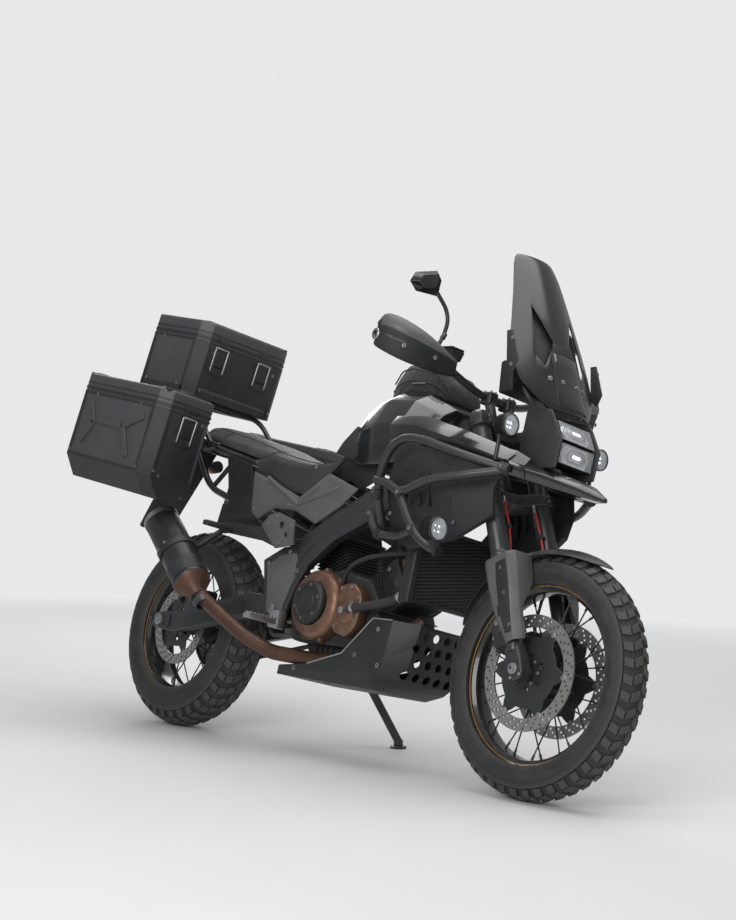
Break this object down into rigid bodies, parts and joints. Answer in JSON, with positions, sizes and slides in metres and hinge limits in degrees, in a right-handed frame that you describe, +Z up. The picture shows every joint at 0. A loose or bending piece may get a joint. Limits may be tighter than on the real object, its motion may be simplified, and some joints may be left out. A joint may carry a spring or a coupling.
{
  "type": "adventure motorcycle",
  "caption": "Adventure motorcycle with wire wheels, tall screen, crash bars, skid plate, two side cases and a top case, parked on its side stand.",
  "frame": {"origin": "on the ground, midway along and across the parked machine", "axes": "+X to the machine's front, +Y to its left, +Z up; the machine leans to its left onto its side stand"},
  "size_m": [2.2818, 0.9672, 1.4912],
  "materials": {
    "tyre": "matt",
    "rim_black": "satin",
    "disc_steel": "satin",
    "chain_steel": "satin",
    "black_metal": "satin",
    "fork_grey": "satin",
    "dark_plastic": "matt",
    "hose_rubber": "matt",
    "frame_black": "satin",
    "alloy_dark": "satin",
    "engine_black": "satin",
    "engine_bronze": "satin",
    "pipe_steel": "satin",
    "muffler_black": "satin",
    "plate_black": "satin",
    "body_black": "gloss",
    "bag_fabric": "matt",
    "seat_vinyl": "matt",
    "lamp_glass": "gloss",
    "smoked_screen": "gloss",
    "case_black": "satin"
  },
  "bodies": {
    "chassis": {"main_frame": "frame_black", "subframe": "black_metal", "swingarm": "alloy_dark", "shock": "black_metal", "chain": "chain_steel", "engine_case": "engine_black", "engine_covers": "engine_bronze", "cylinders": "engine_black", "radiator": "engine_black", "exhaust_pipes": "pipe_steel", "muffler": "muffler_black", "skid_plate": "plate_black", "crash_bars": "black_metal", "footrests": "black_metal", "fuel_tank": "body_black", "tank_bag": "bag_fabric", "seat": "seat_vinyl", "side_covers": "dark_plastic", "side_fairings": "body_black", "nose_cowl": "body_black", "headlight": "lamp_glass", "windscreen": "smoked_screen", "wind_deflectors": "smoked_screen", "spot_lamps": "lamp_glass", "tail_unit": "dark_plastic", "luggage_racks": "black_metal", "left_case": "case_black", "right_case": "case_black", "top_case": "case_black"},
    "steering": {"fork_tubes": "black_metal", "fork_legs": "fork_grey", "front_mudguard": "dark_plastic", "front_calipers": "black_metal", "handlebar": "black_metal", "handguards": "dark_plastic", "mirrors": "dark_plastic", "brake_hoses": "hose_rubber"},
    "front_wheel": {"front_tyre": "tyre", "front_rim": "rim_black", "front_discs": "disc_steel"},
    "rear_wheel": {"rear_tyre": "tyre", "rear_rim": "rim_black", "rear_disc": "disc_steel", "rear_sprocket": "chain_steel"},
    "side_stand": {"side_stand": "black_metal"},
    "left_lid": {"left_case_lid": "case_black"},
    "right_lid": {"right_case_lid": "case_black"},
    "top_lid": {"top_case_lid": "case_black"}
  },
  "joints": [
    {"name": "steering_head", "type": "hinge", "parent": "chassis", "child": "steering", "pos_m": [0.46471, 0.0044, 0.93798], "axis": [-0.4331, 0.1943, 0.8802], "range_deg": [-32, 32]},
    {"name": "front_wheel_spin", "type": "hinge", "parent": "steering", "child": "front_wheel", "pos_m": [0.81602, -0.13162, 0.32181], "axis": [0, 0.9765, -0.2156], "continuous": true},
    {"name": "rear_wheel_spin", "type": "hinge", "parent": "chassis", "child": "rear_wheel", "pos_m": [-0.73898, -0.13336, 0.31418], "axis": [0, 0.9765, -0.2156], "continuous": true},
    {"name": "side_stand_fold", "type": "hinge", "parent": "chassis", "child": "side_stand", "pos_m": [-0.11699, 0.00859, 0.26125], "axis": [0.0001, 0.9301, 0.3673], "range_deg": [0, 92]},
    {"name": "left_lid_hinge", "type": "hinge", "parent": "chassis", "child": "left_lid", "pos_m": [-1.04153, 0.34009, 0.9048], "axis": [0, -0.9765, 0.2156], "range_deg": [0, 100]},
    {"name": "right_lid_hinge", "type": "hinge", "parent": "chassis", "child": "right_lid", "pos_m": [-1.04151, -0.33132, 1.07352], "axis": [0, -0.9765, 0.2156], "range_deg": [0, 100]},
    {"name": "top_lid_hinge", "type": "hinge", "parent": "chassis", "child": "top_lid", "pos_m": [-1.11601, 0.07912, 1.27664], "axis": [0, -0.9765, 0.2156], "range_deg": [0, 100]}
  ]
}
